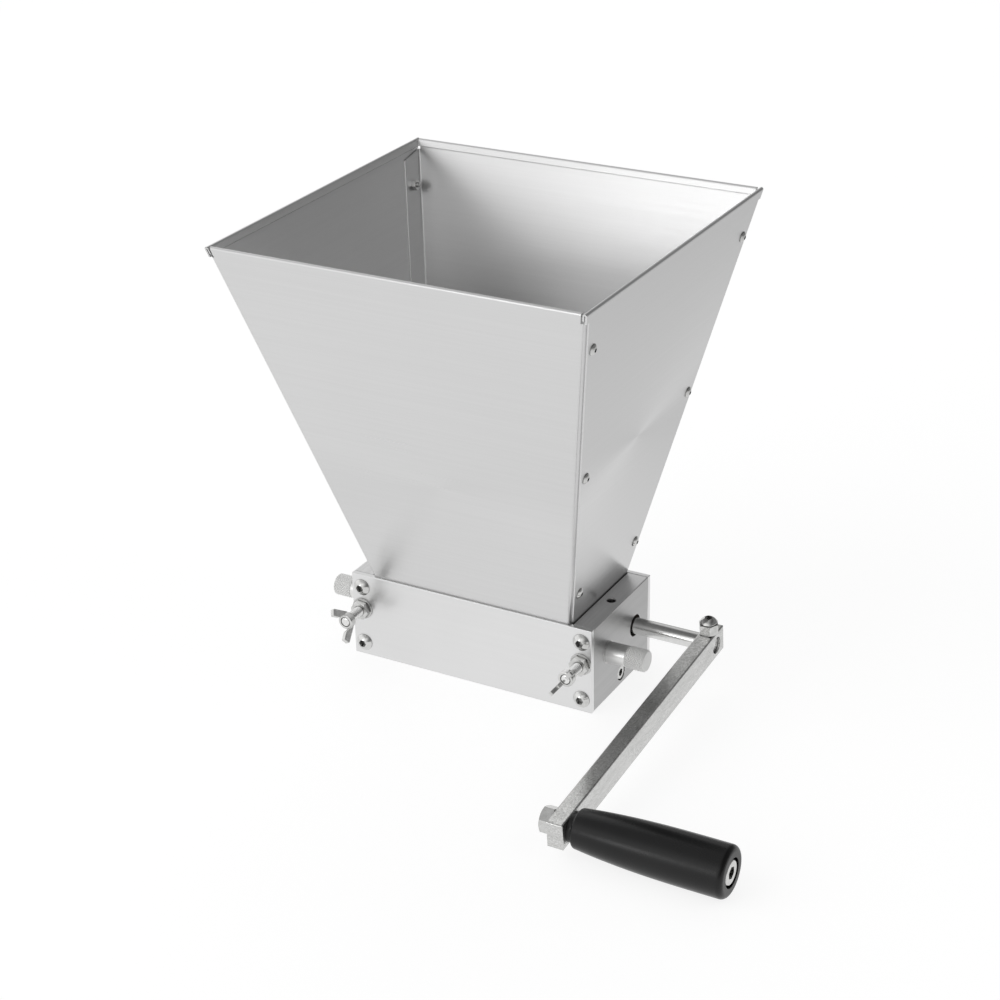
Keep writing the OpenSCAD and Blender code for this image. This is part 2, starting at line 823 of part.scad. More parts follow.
module lock_wing() {
    hub_end = wing_gap + hub_len;
    root = [hub_d / 2, hub_end - small_edge];
    tip = [wing_reach, hub_end + wing_rise];
    span = norm(tip - root);
    lean = atan2(tip[0] - root[0], tip[1] - root[1]);
    difference() {
        union() {
            rod_z(hub_d, wing_gap, hub_end - small_edge);
            translate([0, 0, hub_end - small_edge])
                cylinder(d1 = hub_d, d2 = hub_d - 2 * small_edge, h = small_edge);
            difference() {
                for (turn = [0, 180])
                    rotate([90, 0, turn]) linear_extrude(wing_t, center = true) intersection() {
                        translate(root) rotate(-lean) translate([0, (span - hub_d / 2) / 2])
                            rounded_rect(wing_w, span + hub_d / 2, wing_corner);
                        translate([0, wing_gap]) square([wing_reach + wing_w, hub_len + wing_rise + wing_w]);
                    }
                rod_z(hub_d, hub_end - small_edge, hub_end + wing_rise + wing_w);
            }
        }
        rod_z(stud_d + 2 * thread_gap, 0, hub_end + overrun);
    }
}

module lock_jam_nut() {
    translate([0, 0, washer_t]) hex_nut(jam_nut_af, jam_nut_h, stud_d + 2 * thread_gap);
}

module lock_washer() {
    difference() {
        rod_z(washer_d, 0, washer_t);
        rod_z(stud_d + 2 * screw_gap, -overrun, washer_t + overrun);
    }
}

module left_lock_stud() {
    color("lightgray") on_lock(-1, left_wing_angle) lock_stud();
}

module left_lock_wing() {
    color("silver") on_lock(-1, left_wing_angle) lock_wing();
}

module left_lock_jam_nut() {
    color("silver") on_lock(-1, left_wing_angle) lock_jam_nut();
}

module left_lock_washer() {
    color("silver") on_lock(-1, left_wing_angle) lock_washer();
}

module right_lock_stud() {
    color("lightgray") on_lock(1, right_wing_angle) lock_stud();
}

module right_lock_wing() {
    color("silver") on_lock(1, right_wing_angle) lock_wing();
}

module right_lock_jam_nut() {
    color("silver") on_lock(1, right_wing_angle) lock_jam_nut();
}

module right_lock_washer() {
    color("silver") on_lock(1, right_wing_angle) lock_washer();
}

// Crank, with its arm along -Y from the drive shaft and then let down to its rest

module on_crank() {
    translate([0, drive_y, axle_z]) rotate([crank_drop, 0, 0]) children();
}

module on_handle() {
    on_crank() translate([0, -crank_len, 0]) children();
}

module crank_arm() {
    length = arm_nose + crank_len + arm_tail;
    color("silver") on_crank() difference() {
        translate([arm_mid_x, arm_tail - length / 2, 0]) rounded_block(arm_t, length, arm_h, arm_edge_r);
        rod_x(shaft_d + 2 * running_gap, arm_x - overrun, arm_end_x + overrun);
        translate([arm_mid_x, 0, 0]) rod_z(clamp_d + 2 * thread_gap, 0, arm_h);
        translate([0, -crank_len, 0]) rod_x(bolt_d + 2 * screw_gap, arm_x - overrun, arm_end_x + overrun);
    }
}

module clamp_screw() {
    seat = arm_h / 2 + clamp_nut_h + clamp_head_gap;
    color("silver") on_crank() translate([arm_mid_x, 0, seat])
        button_screw(clamp_d, seat - shaft_d / 2 - running_gap, clamp_head_d, clamp_head_h, clamp_socket);
}

module clamp_nut() {
    color("silver") on_crank() translate([arm_mid_x, 0, arm_h / 2])
        hex_nut(clamp_nut_af, clamp_nut_h, clamp_d + 2 * thread_gap);
}

module handle_bolt() {
    color("dimgray") on_handle() translate([bolt_head_x, 0, 0]) rotate([0, 90, 0])
        cap_screw(bolt_d, bolt_head_x - arm_x + bolt_nut_h + bolt_end, bolt_head_d, bolt_head_h, bolt_socket);
}

module handle_nut() {
    color("silver") on_handle() translate([arm_x - bolt_nut_h, 0, 0]) rotate([0, 90, 0])
        hex_nut(bolt_nut_af, bolt_nut_h, bolt_d + 2 * thread_gap);
}

module handle_spacer() {
    color("#1c1c1e") on_handle() difference() {
        rod_x(spacer_d, arm_end_x, arm_end_x + spacer_len);
        rod_x(bolt_d + 2 * screw_gap, arm_x, grip_end_x);
    }
}

// Grip's outline: radius and x, from the arm outwards
function grip_radius(share) =
    grip_near_d / 2 + (grip_d - grip_near_d) / 2 * (1 - pow(1 - share, swell_power));

module handle_grip() {
    near_r = grip_near_d / 2 - grip_near_round;
    far_r = grip_d / 2 - grip_round;
    outline = concat(
        [[0, grip_x]],
        [for (a = [0:15:90]) [near_r + grip_near_round * sin(a), grip_x + grip_near_round * (1 - cos(a))]],
        [for (i = [1:swell_steps])
            [grip_radius(i / swell_steps),
             grip_x + grip_near_round + (grip_swell_len - grip_near_round) * i / swell_steps]],
        [for (a = [0:15:90]) [far_r + grip_round * cos(a), grip_end_x - grip_round * (1 - sin(a))]],
        [[0, grip_end_x]]
    );
    color("#1c1c1e") on_handle() difference() {
        turned_x(outline);
        rod_x(bolt_d + 2 * running_gap, arm_x, grip_end_x + overrun);
        rod_x(grip_recess_d, bolt_head_x - grip_play, grip_end_x + overrun);
    }
}

left_end_plate();
right_end_plate();
front_plate();
back_plate();
plate_screws();
tie_rod();
tie_rod_screws();
left_shaft_bush();
right_shaft_bush();
hopper_front_panel();
hopper_back_panel();
hopper_left_panel();
hopper_right_panel();
hopper_seam_screws();
hopper_seam_nuts();
hopper_foot_screws();
drive_shaft();
drive_roller();
crank_arm();
clamp_screw();
clamp_nut();
handle_bolt();
handle_nut();
handle_spacer();
handle_grip();
idler_roller();
idler_shaft();
left_gap_adjuster();
right_gap_adjuster();
left_lock_stud();
left_lock_wing();
left_lock_jam_nut();
left_lock_washer();
right_lock_stud();
right_lock_wing();
right_lock_jam_nut();
right_lock_washer();
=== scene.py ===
import math

import bpy
from mathutils import Matrix, Vector


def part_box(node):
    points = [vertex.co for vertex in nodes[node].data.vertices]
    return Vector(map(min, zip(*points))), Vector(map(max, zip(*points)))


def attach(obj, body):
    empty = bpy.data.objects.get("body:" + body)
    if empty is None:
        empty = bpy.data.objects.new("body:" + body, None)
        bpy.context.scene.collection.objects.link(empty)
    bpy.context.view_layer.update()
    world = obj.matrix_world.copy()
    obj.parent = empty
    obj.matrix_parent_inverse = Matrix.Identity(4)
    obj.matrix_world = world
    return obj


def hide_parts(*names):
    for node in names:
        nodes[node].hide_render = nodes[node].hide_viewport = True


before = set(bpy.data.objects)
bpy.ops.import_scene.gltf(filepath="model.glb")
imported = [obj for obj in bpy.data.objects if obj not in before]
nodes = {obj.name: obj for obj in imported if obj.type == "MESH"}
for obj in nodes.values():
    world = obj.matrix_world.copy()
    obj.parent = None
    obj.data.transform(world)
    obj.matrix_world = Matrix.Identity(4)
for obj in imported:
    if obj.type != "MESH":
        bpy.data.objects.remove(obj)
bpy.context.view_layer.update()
print("frame loaded:", len(nodes), "nodes")


# Camera, as the photograph was taken
cameraSettings = {
    "place": (0.5517, -0.9706, 0.6430),
    "azimuth": 29.577,
    "elevation": 26.025,
    "roll": -1.33,
    "lens": 80.12,
    "sensor": 36.0,
}


def makeCamera(settings):
    azimuth, elevation, roll = (math.radians(settings[key]) for key in ("azimuth", "elevation", "roll"))
    right = Vector((math.cos(azimuth), math.sin(azimuth), 0))
    back = Vector((
        math.sin(azimuth) * math.cos(elevation),
        -math.cos(azimuth) * math.cos(elevation),
        math.sin(elevation),
    ))
    up = back.cross(right)
    across = right * math.cos(roll) + up * math.sin(roll)
    upright = up * math.cos(roll) - right * math.sin(roll)
    data = bpy.data.cameras.new("camera")
    data.sensor_fit = "HORIZONTAL"
    data.sensor_width = settings["sensor"]
    data.lens = settings["lens"]
    data.clip_start = 0.01
    data.clip_end = 50
    camera = bpy.data.objects.new("camera", data)
    bpy.context.scene.collection.objects.link(camera)
    camera.matrix_world = Matrix((
        (across.x, upright.x, back.x, settings["place"][0]),
        (across.y, upright.y, back.y, settings["place"][1]),
        (across.z, upright.z, back.z, settings["place"][2]),
        (0, 0, 0, 1),
    ))
    bpy.context.scene.camera = camera


makeCamera(cameraSettings)
bpy.context.scene.view_settings.view_transform = "Standard"


# Adds a shader node: plain values and other nodes' outputs both go to its inputs
def put(tree, kind, inputs=None, **settings):
    node = tree.nodes.new("ShaderNode" + kind)
    for name, value in settings.items():
        setattr(node, name, value)
    for name, value in (inputs or {}).items():
        if isinstance(value, bpy.types.NodeSocket):
            tree.links.new(value, node.inputs[name])
        else:
            node.inputs[name].default_value = value
    return node


def spread(tree, value, low, high, start=0.0, end=1.0, curve="LINEAR"):
    return put(tree, "MapRange", {
        "Value": value, "From Min": low, "From Max": high, "To Min": start, "To Max": end,
    }, interpolation_type=curve).outputs[0]


# Studio: soft lamps, a surround that is darker on the right and overhead, and a pale floor
studio = {
    "lamps": {
        "keyLamp": {"from": (-1.6, -1.8, 1.9), "size": 2.6, "watts": 24, "glossy": False},
        "sideLamp": {"from": (2.2, 0.3, 1.9), "size": 1.4, "watts": 6, "glossy": False},
        "backLamp": {"from": (-0.9, 1.9, 2.1), "size": 2.0, "watts": 12, "glossy": False},
        "frontLamp": {"from": (-0.91, -2.32, 0.66), "size": 0.5, "watts": 1.75, "glossy": True},
    },
    "aim": (0, 0, 0.12),
    "ambient": 0.5,
    "brightWay": (-0.85, -0.42, 0.32),
    "surround": (0.2, 1.0),
    "surroundFade": (-0.3, 0.55),
    "overhead": 0.5,
    "overheadFade": (0.5, 0.85),
    "floorSize": 12,
    "floorZ": -0.0002,
    "floorPlain": 0.8,
    "floorShadow": 0.25,
    "floorGlow": 0.84,
    "floorInGloss": (0.84, 0.5),
    "floorFade": (-0.3, 1.5),
}


def makeLamps(settings):
    for name, lamp in settings["lamps"].items():
        data = bpy.data.lights.new(name, "AREA")
        data.shape = "SQUARE"
        data.size = lamp["size"]
        data.energy = lamp["watts"]
        obj = bpy.data.objects.new(name, data)
        bpy.context.scene.collection.objects.link(obj)
        obj.location = lamp["from"]
        aim = Vector(settings["aim"]) - obj.location
        obj.rotation_euler = aim.to_track_quat("-Z", "Y").to_euler()
        obj.visible_camera = False
        obj.visible_glossy = lamp["glossy"]


def makeWorld(settings):
    world = bpy.data.worlds.new("surround")
    bpy.context.scene.world = world
    world.use_nodes = True
    tree = world.node_tree
    tree.nodes.clear()
    path = put(tree, "LightPath")
    way = put(tree, "TexCoord").outputs["Generated"]
    side = put(tree, "VectorMath", {0: way, 1: settings["brightWay"]}, operation="DOT_PRODUCT")
    tone = spread(tree, side.outputs["Value"], *settings["surroundFade"], *settings["surround"], "SMOOTHSTEP")
    height = put(tree, "SeparateXYZ", {0: way}).outputs["Z"]
    above = spread(tree, height, *settings["overheadFade"], 1.0, settings["overhead"], "SMOOTHSTEP")
    both = put(tree, "Math", {0: tone, 1: above}, operation="MULTIPLY")
    light = put(tree, "Background", {"Strength": settings["ambient"]})
    gloss = put(tree, "Background", {"Color": both.outputs[0]})
    white = put(tree, "Background", {"Color": (1, 1, 1, 1)})
    shiny = put(tree, "MixShader", {
        0: path.outputs["Is Glossy Ray"], 1: light.outputs[0], 2: gloss.outputs[0],
    })
    straight = put(tree, "Math", {0: path.outputs["Is Camera Ray"], 1: path.outputs["Is Transmission Ray"]})
    final = put(tree, "MixShader", {0: straight.outputs[0], 1: shiny.outputs[0], 2: white.outputs[0]})
    put(tree, "OutputWorld", {"Surface": final.outputs[0]})


def makeFloor(settings):
    bpy.ops.object.select_all(action="DESELECT")
    bpy.ops.mesh.primitive_plane_add(size=settings["floorSize"], location=(0, 0, settings["floorZ"]))
    floor = bpy.context.object
    floor.name = "floor"
    material = bpy.data.materials.new("paleFloor")
    material.use_nodes = True
    tree = material.node_tree
    tree.nodes.clear()
    path = put(tree, "LightPath")
    place = put(tree, "SeparateXYZ", {0: put(tree, "TexCoord").outputs["Object"]})
    side = put(tree, "Math", {0: place.outputs["X"], 1: place.outputs["Y"]}).outputs[0]
    tone = spread(tree, side, *settings["floorFade"], *settings["floorInGloss"], "SMOOTHSTEP")
    plain = put(tree, "BsdfDiffuse", {"Color": (*[settings["floorPlain"]] * 3, 1)})
    gloss = put(tree, "Emission", {"Color": tone})
    shadow = put(tree, "BsdfDiffuse", {"Color": (*[settings["floorShadow"]] * 3, 1)})
    glow = put(tree, "Emission", {"Strength": settings["floorGlow"]})
    seen = put(tree, "AddShader", {0: shadow.outputs[0], 1: glow.outputs[0]})
    shiny = put(tree, "MixShader", {
        0: path.outputs["Is Glossy Ray"], 1: plain.outputs[0], 2: gloss.outputs[0],
    })
    final = put(tree, "MixShader", {
        0: path.outputs["Is Camera Ray"], 1: shiny.outputs[0], 2: seen.outputs[0],
    })
    put(tree, "OutputMaterial", {"Surface": final.outputs[0]})
    floor.data.materials.append(material)


makeLamps(studio)
makeWorld(studio)
makeFloor(studio)
print("studio ready")


# Surface effects that several finishes share, each a node group
def newGroup(name, inputs, outputs):
    group = bpy.data.node_groups.new(name, "ShaderNodeTree")
    for label, (kind, value) in inputs.items():
        socket = group.interface.new_socket(name=label, in_out="INPUT", socket_type="NodeSocket" + kind)
        socket.default_value = value
    for label, kind in outputs.items():
        group.interface.new_socket(name=label, in_out="OUTPUT", socket_type="NodeSocket" + kind)
    return group, group.nodes.new("NodeGroupInput").outputs, group.nodes.new("NodeGroupOutput").inputs


def mixTones(tree, amount, first, second):
    return put(tree, "Mix", {0: amount, 6: first, 7: second}, data_type="RGBA").outputs[2]


# Fine lines drawn out along the surface, and the slow cloudiness of a worked sheet
def makeBrushedLines():
    group, given, result = newGroup("brushedLines", {
        "Vector": ("Vector", (0, 0, 0)),
        "Stretch": ("Vector", (1, 1, 1)),
        "Cloud Scale": ("Float", 20.0),
    }, {"Lines": "Float", "Cloud": "Float"})
    drawn = put(group, "VectorMath", {0: given["Vector"], 1: given["Stretch"]}, operation="MULTIPLY")
    fine = put(group, "TexNoise", {
        "Vector": drawn.outputs[0], "Scale": 1.0, "Detail": 3.0, "Roughness": 0.65,
    })
    broad = put(group, "TexNoise", {"Vector": drawn.outputs[0], "Scale": 0.17, "Detail": 2.0})
    both = put(group, "Math", {0: fine.outputs[0], 1: broad.outputs[0]})
    cloud = put(group, "TexNoise", {
        "Vector": given["Vector"], "Scale": given["Cloud Scale"], "Detail": 2.0, "Roughness": 0.5,
    })
    group.links.new(spread(group, both.outputs[0], 0.7, 1.3), result["Lines"])
    group.links.new(spread(group, cloud.outputs[0], 0.3, 0.7), result["Cloud"])
    return group


# Rounds the shading over an edge and masks the edge band, where the finishes paint their edge tone: edge
# wear, painted highlights and painted shade outlines
def makeSoftEdge():
    group, given, result = newGroup("softEdge", {
        "Radius": ("Float", 0.0003),
    }, {"Normal": "Vector", "Edge Mask": "Float"})
    rounded = put(group, "Bevel", {"Radius": given["Radius"]}, samples=6).outputs[0]
    plain = put(group, "NewGeometry").outputs["Normal"]
    turn = put(group, "VectorMath", {0: rounded, 1: plain}, operation="DOT_PRODUCT").outputs["Value"]
    group.links.new(rounded, result["Normal"])
    group.links.new(spread(group, turn, 0.99, 0.85), result["Edge Mask"])
    return group


# Darkens where two pieces meet and inside small recesses
def makeContactShade():
    group, given, result = newGroup("contactShade", {"Distance": ("Float", 0.003)}, {"Open": "Float"})
    seen = put(group, "AmbientOcclusion", {"Distance": given["Distance"]}, samples=8)
    group.links.new(spread(group, seen.outputs["AO"], 0.2, 0.75), result["Open"])
    return group


# Crystals of a bright plated surface: pale specks, and a height for their facets
def makeSparkle():
    group, given, result = newGroup("sparkle", {
        "Vector": ("Vector", (0, 0, 0)),
        "Scale": ("Float", 1500.0),
    }, {"Specks": "Float", "Height": "Float"})
    cells = put(group, "TexVoronoi", {"Vector": given["Vector"], "Scale": given["Scale"]})
    shades = put(group, "SeparateColor", {0: cells.outputs["Color"]})
    patches = put(group, "TexNoise", {"Vector": given["Vector"], "Scale": 900.0, "Detail": 3.0})
    mixed = put(group, "Math", {0: shades.outputs[0], 1: spread(group, patches.outputs[0], 0.35, 0.65)})
    group.links.new(spread(group, mixed.outputs[0], 0.2, 1.8), result["Specks"])
    group.links.new(shades.outputs[1], result["Height"])
    return group


brushedLines = makeBrushedLines()
softEdge = makeSoftEdge()
contactShade = makeContactShade()
sparkle = makeSparkle()


def useGroup(tree, group, inputs):
    return put(tree, "Group", inputs, node_tree=group).outputs


bumpDepth = 0.0001
paintedTopFrom = (0.7, 0.9)


# A worked metal: tones run from dark to light along its lines, its edges get an edge tone that is partly wear
# and partly painted light (painted highlights, painted shade outlines), and contacts get painted shade.
# A finish may paint light and shade onto the faces that look up, with other tones there.
def makeMetal(name, finish):
    material = bpy.data.materials.new(name)
    material.use_nodes = True
    tree = material.node_tree
    shader = tree.nodes["Principled BSDF"]
    shader.inputs["Metallic"].default_value = finish.get("metallic", 1.0)
    place = put(tree, "TexCoord").outputs["Object"]
    drawn = useGroup(tree, brushedLines, {
        "Vector": place, "Stretch": finish["stretch"], "Cloud Scale": finish["cloudScale"],
    })
    edge = useGroup(tree, softEdge, {"Radius": finish["edgeRadius"]})
    shade = useGroup(tree, contactShade, {"Distance": finish["shadeReach"]})
    grain = put(tree, "Mix", {0: finish["cloudShare"], 2: drawn["Lines"], 3: drawn["Cloud"]}).outputs[0]
    height = drawn["Lines"]
    if "sparkleScale" in finish:
        specks = useGroup(tree, sparkle, {"Vector": place, "Scale": finish["sparkleScale"]})
        grain = put(tree, "Mix", {0: finish["sparkleShare"], 2: grain, 3: specks["Specks"]}).outputs[0]
        height = specks["Height"]
    tone = mixTones(tree, grain, (*finish["dark"], 1), (*finish["light"], 1))
    # Painted light and shade: faces that look up get their own tones, lighter on the aluminium tops and
    # darker on the arm's top, for how light falls there
    if "paintedTopDark" in finish:
        paintedTopMask = put(tree, "SeparateXYZ", {0: put(tree, "TexCoord").outputs["Normal"]}).outputs["Z"]
        paintedTopTone = mixTones(tree, grain, (*finish["paintedTopDark"], 1), (*finish["paintedTopLight"], 1))
        tone = mixTones(tree, spread(tree, paintedTopMask, *paintedTopFrom), tone, paintedTopTone)
    # Painted edge tone: a bright tone paints a highlight along the edge, a dark tone paints a shade outline,
    # and some of it is wear
    rubbedAndEdgeLit = put(tree, "Math", {0: edge["Edge Mask"], 1: finish["edgeWearAndLightShare"]}, operation="MULTIPLY")
    edgeWearAndLight = mixTones(tree, rubbedAndEdgeLit.outputs[0], tone, (*finish["edgeWearAndLight"], 1))
    depth = spread(tree, shade["Open"], 0, 1, finish["shade"], 1)
    shaded = put(tree, "VectorMath", {0: edgeWearAndLight, "Scale": depth}, operation="SCALE")
    tree.links.new(shaded.outputs[0], shader.inputs["Base Color"])
    tree.links.new(spread(tree, grain, 0, 1, *finish["roughness"]), shader.inputs["Roughness"])
    bump = put(tree, "Bump", {
        "Height": height, "Strength": finish["bump"], "Distance": bumpDepth, "Normal": edge["Normal"],
    })
    tree.links.new(bump.outputs[0], shader.inputs["Normal"])
    if "anisotropic" in finish:
        shader.inputs["Anisotropic"].default_value = finish["anisotropic"]
        shader.inputs["Anisotropic Rotation"].default_value = finish["anisotropicTurn"]
        tangent = put(tree, "Tangent", direction_type="RADIAL", axis=finish["tangentAxis"])
        tree.links.new(tangent.outputs[0], shader.inputs["Tangent"])
    return material


def dress(material, *names):
    for name in names:
        for slot in nodes[name].material_slots:
            slot.material = material


# In each finish, the edge tone is partly wear and partly painted light: bright edge tones are painted
# highlights along edges and folds
hopperFinish = {
    "stretch": (15, 15, 2600), "cloudScale": 9, "cloudShare": 0.45,
    "dark": (0.77, 0.77, 0.77), "light": (0.82, 0.82, 0.82),
    "edgeWearAndLight": (0.97, 0.97, 0.97), "edgeWearAndLightShare": 1.0, "edgeRadius": 0.0006,
    "shade": 0.85, "shadeReach": 0.0015,
    "roughness": (0.27, 0.33), "bump": 0.05,
    "anisotropic": 0.75, "anisotropicTurn": 0.25, "tangentAxis": "Z",
}
plateFinish = {
    "stretch": (12, 1800, 1800), "cloudScale": 14, "cloudShare": 0.6,
    "dark": (0.86, 0.86, 0.86), "light": (0.91, 0.91, 0.91),
    "edgeWearAndLight": (0.97, 0.97, 0.97), "edgeWearAndLightShare": 0.6, "edgeRadius": 0.0003,
    "shade": 0.35, "shadeReach": 0.0015,
    "roughness": (0.28, 0.34), "bump": 0.06,
}
aluminiumFinish = {
    "stretch": (1500, 14, 1500), "cloudScale": 30, "cloudShare": 0.25,
    "dark": (0.47, 0.47, 0.47), "light": (0.58, 0.58, 0.58),
    # Faces that look up are painted lighter: painted light on the tops
    "paintedTopDark": (0.76, 0.76, 0.76), "paintedTopLight": (0.97, 0.97, 0.97),
    "edgeWearAndLight": (0.95, 0.95, 0.95), "edgeWearAndLightShare": 1.0, "edgeRadius": 0.0006,
    "shade": 0.2, "shadeReach": 0.0014,
    "roughness": (0.33, 0.42), "bump": 0.15,
}
platedFinish = {
    "stretch": (900, 900, 900), "cloudScale": 300, "cloudShare": 0.5,
    "dark": (0.62, 0.62, 0.61), "light": (0.82, 0.82, 0.81),
    # A dark edge tone: painted shade outlines round the heads and nuts
    "edgeWearAndLight": (0.2, 0.2, 0.2), "edgeWearAndLightShare": 0.8, "edgeRadius": 0.0002,
    "shade": 0.0, "shadeReach": 0.003,
    "roughness": (0.10, 0.18), "bump": 0.1,
}
groundFinish = {
    "stretch": (2200, 40, 40), "cloudScale": 60, "cloudShare": 0.3,
    "dark": (0.78, 0.78, 0.77), "light": (0.90, 0.90, 0.89),
    "edgeWearAndLight": (0.95, 0.95, 0.94), "edgeWearAndLightShare": 0.6, "edgeRadius": 0.0003,
    "shade": 0.15, "shadeReach": 0.003,
    "roughness": (0.16, 0.25), "bump": 0.1,
}
rollerFinish = {
    "stretch": (900, 900, 900), "cloudScale": 90, "cloudShare": 0.6,
    "dark": (0.50, 0.50, 0.50), "light": (0.64, 0.64, 0.64),
    "edgeWearAndLight": (0.9, 0.9, 0.9), "edgeWearAndLightShare": 0.9, "edgeRadius": 0.0001,
    "shade": 0.4, "shadeReach": 0.003,
    "roughness": (0.36, 0.46), "bump": 0.1,
}
bronzeFinish = {
    "stretch": (1200, 60, 60), "cloudScale": 120, "cloudShare": 0.5,
    "dark": (0.52, 0.35, 0.17), "light": (0.66, 0.47, 0.25),
    "edgeWearAndLight": (0.8, 0.62, 0.38), "edgeWearAndLightShare": 0.6, "edgeRadius": 0.0002,
    "shade": 0.3, "shadeReach": 0.003,
    "roughness": (0.3, 0.42), "bump": 0.1,
}
armFinish = {
    "stretch": (350, 350, 1800), "cloudScale": 40, "cloudShare": 0.1,
    "sparkleScale": 2600, "sparkleShare": 0.6,
    "dark": (0.56, 0.56, 0.55), "light": (0.85, 0.85, 0.84),
    # The top face is painted darker, a painted shade and reflection, and the edges dark as painted shade
    # outlines
    "paintedTopDark": (0.36, 0.36, 0.35), "paintedTopLight": (0.86, 0.86, 0.85),
    "edgeWearAndLight": (0.3, 0.3, 0.3), "edgeWearAndLightShare": 0.6, "edgeRadius": 0.0003,
    "shade": 0.4, "shadeReach": 0.0015,
    "roughness": (0.16, 0.24), "bump": 0.5,
}

dress(makeMetal("brushedStainless", hopperFinish),
      "hopper_front_panel", "hopper_back_panel", "hopper_right_panel")

# The left panel: a lighter copy of the stainless, painted light on its inner face, with its edges and folded
# top painted dark as a painted shade line
litLeftPanelFinish = {
    **hopperFinish,
    "dark": (0.81, 0.81, 0.81), "light": (0.86, 0.86, 0.86), "edgeWearAndLight": (0.12, 0.12, 0.12),
}
dress(makeMetal("brushedStainlessLitShadeEdged", litLeftPanelFinish), "hopper_left_panel")
dress(makeMetal("satinStainless", plateFinish), "front_plate", "back_plate")
dress(makeMetal("milledAluminium", aluminiumFinish), "left_end_plate", "right_end_plate", "tie_rod")
platedSteel = makeMetal("platedSteel", platedFinish)
dress(platedSteel, "plate_screws", "tie_rod_screws", "hopper_seam_screws", "hopper_foot_screws",
      "clamp_screw", "clamp_nut", "handle_bolt", "handle_nut",
      "left_lock_jam_nut", "left_lock_washer", "right_lock_jam_nut", "right_lock_washer")
# A lighter copy of the plated steel for the seam nuts and the studs: painted light, with little painted shade
# and no edge tone
litPlatedFinish = {
    **platedFinish,
    "dark": (0.85, 0.85, 0.84), "light": (0.97, 0.97, 0.96), "shade": 0.8, "edgeWearAndLightShare": 0,
}
litPlatedSteel = makeMetal("litPlatedSteel", litPlatedFinish)
dress(litPlatedSteel, "hopper_seam_nuts")
groundSteel = makeMetal("groundSteel", groundFinish)
dress(groundSteel, "drive_shaft", "idler_shaft")
# The knurled ends: a lighter copy of the ground steel, painted light for the light the knurl scatters, with
# little painted shade
litKnurlFinish = {
    **groundFinish,
    "stretch": (1500, 1500, 1500), "edgeRadius": 0.0001, "shadeReach": 0.0012, "shade": 0.8,
    "dark": (0.9, 0.9, 0.89), "light": (0.98, 0.98, 0.97), "roughness": (0.3, 0.38), "metallic": 0.4,
}
litKnurledSteel = makeMetal("litKnurledSteel", litKnurlFinish)
# The adjusters' barrels: a rougher copy of the ground steel, made lighter: the lighter colour is painted
# light
litBarrelFinish = {
    **groundFinish,
    "dark": (0.88, 0.88, 0.87), "light": (0.97, 0.97, 0.96), "roughness": (0.3, 0.38),
}
litBarrelSteel = makeMetal("litBarrelSteel", litBarrelFinish)
rollerSteel = makeMetal("rollerSteel", rollerFinish)
dress(makeMetal("bronze", bronzeFinish), "left_shaft_bush", "right_shaft_bush")
dress(makeMetal("nickelledBar", armFinish), "crank_arm")


# Black moulded plastic: a faint mould grain, hand-rubbed patches and worn edges
gripFinish = {
    "dark": (0.002, 0.002, 0.0022),
    "light": (0.004, 0.004, 0.0044),
    "edgeWearAndLight": (0.008, 0.008, 0.0085),
    "edgeWearAndLightShare": 0.5,
    "edgeRadius": 0.0006,
    "grainScale": 900,
    "rubScale": 45,
    "roughness": (0.24, 0.3),
    "bump": 0.05,
    "specular": 0.42,
}


def makePlastic(name, finish):
    material = bpy.data.materials.new(name)
    material.use_nodes = True
    tree = material.node_tree
    shader = tree.nodes["Principled BSDF"]
    place = put(tree, "TexCoord").outputs["Object"]
    grain = put(tree, "TexNoise", {"Vector": place, "Scale": finish["grainScale"], "Detail": 2.0}).outputs[0]
    rubbedAndEdgeLit = put(tree, "TexNoise", {"Vector": place, "Scale": finish["rubScale"], "Detail": 3.0}).outputs[0]
    mask = spread(tree, rubbedAndEdgeLit, 0.35, 0.65)
    edge = useGroup(tree, softEdge, {"Radius": finish["edgeRadius"]})
    tone = mixTones(tree, mask, (*finish["dark"], 1), (*finish["light"], 1))
    edgeWearAndLightShare = put(tree, "Math", {0: edge["Edge Mask"], 1: finish["edgeWearAndLightShare"]}, operation="MULTIPLY")
    edgeWearAndLight = mixTones(tree, edgeWearAndLightShare.outputs[0], tone, (*finish["edgeWearAndLight"], 1))
    tree.links.new(edgeWearAndLight, shader.inputs["Base Color"])
    tree.links.new(spread(tree, mask, 0, 1, *finish["roughness"]), shader.inputs["Roughness"])
    shader.inputs["Specular IOR Level"].default_value = finish["specular"]
    bump = put(tree, "Bump", {
        "Height": grain, "Strength": finish["bump"], "Distance": bumpDepth, "Normal": edge["Normal"],
    })
    tree.links.new(bump.outputs[0], shader.inputs["Normal"])
    return material


dress(makePlastic("blackPlastic", gripFinish), "handle_grip", "handle_spacer")
print("finishes ready")


def pick(piece):
    bpy.ops.object.select_all(action="DESELECT")
    piece.select_set(True)
    bpy.context.view_layer.objects.active = piece


def edit(select):
    bpy.ops.object.mode_set(mode="EDIT")
    bpy.ops.mesh.select_mode(type=select)


def editDone():
    bpy.ops.object.mode_set(mode="OBJECT")


# In edit mode: selects the edges that pass the test, and nothing else
def chooseEdges(piece, test):
    bpy.ops.mesh.select_mode(type="EDGE")
    bpy.ops.mesh.select_all(action="DESELECT")
    editDone()
    points = piece.data.vertices
    for line in piece.data.edges:
        line.select = test(line, *(points[index].co for index in line.vertices))
    edit("EDGE")


# In edit mode: turns every face outward, then leaves edit mode
def faceOutward():
    bpy.ops.mesh.select_all(action="SELECT")
    bpy.ops.mesh.normals_make_consistent(inside=False)
    editDone()


